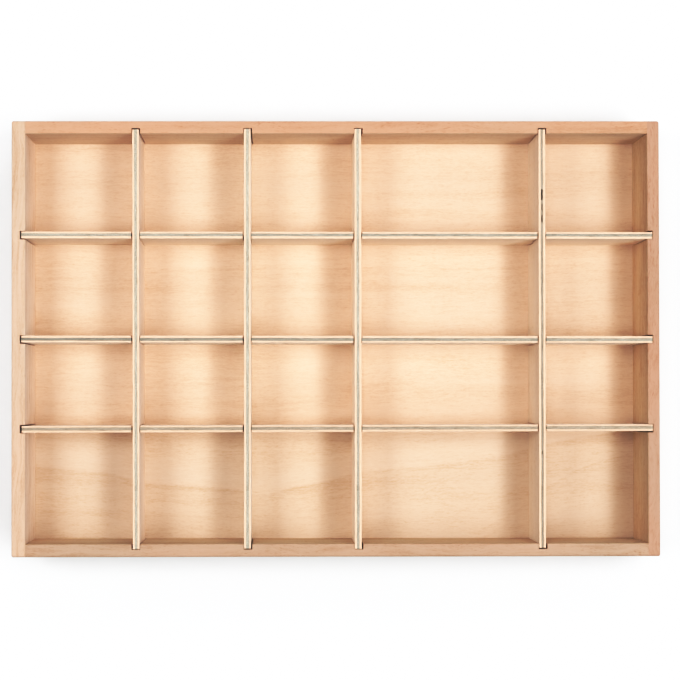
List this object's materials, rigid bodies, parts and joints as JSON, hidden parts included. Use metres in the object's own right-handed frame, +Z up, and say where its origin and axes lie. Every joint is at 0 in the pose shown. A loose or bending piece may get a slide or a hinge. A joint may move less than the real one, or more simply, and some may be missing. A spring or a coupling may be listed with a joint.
{
  "type": "sorting tray",
  "caption": "Shallow open wooden tray with a lift-out grid of half-lapped plywood dividers that splits it into rectangular compartments for sorting small parts.",
  "frame": {"origin": "centre of the tray's rectangular outline, at its underside", "axes": "+X along the long side, +Y across the short side towards the back long rail (the top of the picture), +Z up out of the open compartments"},
  "size_m": [0.38, 0.2554, 0.04],
  "materials": {
    "beech_rail": "planed solid beech, unfinished matt",
    "base_plywood": "sanded beech-faced plywood, unfinished matt",
    "divider_plywood": "sanded beech-faced three-ply, sawn edges showing the plies"
  },
  "bodies": {
    "tray_frame": {"left_end_rail": "beech_rail", "right_end_rail": "beech_rail", "back_rail": "beech_rail", "front_rail": "beech_rail", "base_panel": "base_plywood"},
    "long_divider_1": {"long_divider_1": "divider_plywood"},
    "long_divider_2": {"long_divider_2": "divider_plywood"},
    "long_divider_3": {"long_divider_3": "divider_plywood"},
    "cross_divider_1": {"cross_divider_1": "divider_plywood"},
    "cross_divider_2": {"cross_divider_2": "divider_plywood"},
    "cross_divider_3": {"cross_divider_3": "divider_plywood"},
    "cross_divider_4": {"cross_divider_4": "divider_plywood"}
  },
  "joints": [
    {"name": "grid_lift", "type": "slide", "parent": "tray_frame", "child": "long_divider_2", "axis": [0, 0, 1], "range_m": [0, 0.045]},
    {"name": "long_divider_1_lift", "type": "slide", "parent": "tray_frame", "child": "long_divider_1", "axis": [0, 0, 1], "range_m": [0, 0.045]},
    {"name": "long_divider_3_lift", "type": "slide", "parent": "tray_frame", "child": "long_divider_3", "axis": [0, 0, 1], "range_m": [0, 0.045]},
    {"name": "cross_divider_1_lift", "type": "slide", "parent": "long_divider_2", "child": "cross_divider_1", "axis": [0, 0, 1], "range_m": [0, 0.045]},
    {"name": "cross_divider_2_lift", "type": "slide", "parent": "long_divider_2", "child": "cross_divider_2", "axis": [0, 0, 1], "range_m": [0, 0.045]},
    {"name": "cross_divider_3_lift", "type": "slide", "parent": "long_divider_2", "child": "cross_divider_3", "axis": [0, 0, 1], "range_m": [0, 0.045]},
    {"name": "cross_divider_4_lift", "type": "slide", "parent": "long_divider_2", "child": "cross_divider_4", "axis": [0, 0, 1], "range_m": [0, 0.045]}
  ],
  "couplings": [
    {"joint": "long_divider_1_lift", "follows": "grid_lift", "ratio": 1},
    {"joint": "long_divider_3_lift", "follows": "grid_lift", "ratio": 1}
  ]
}
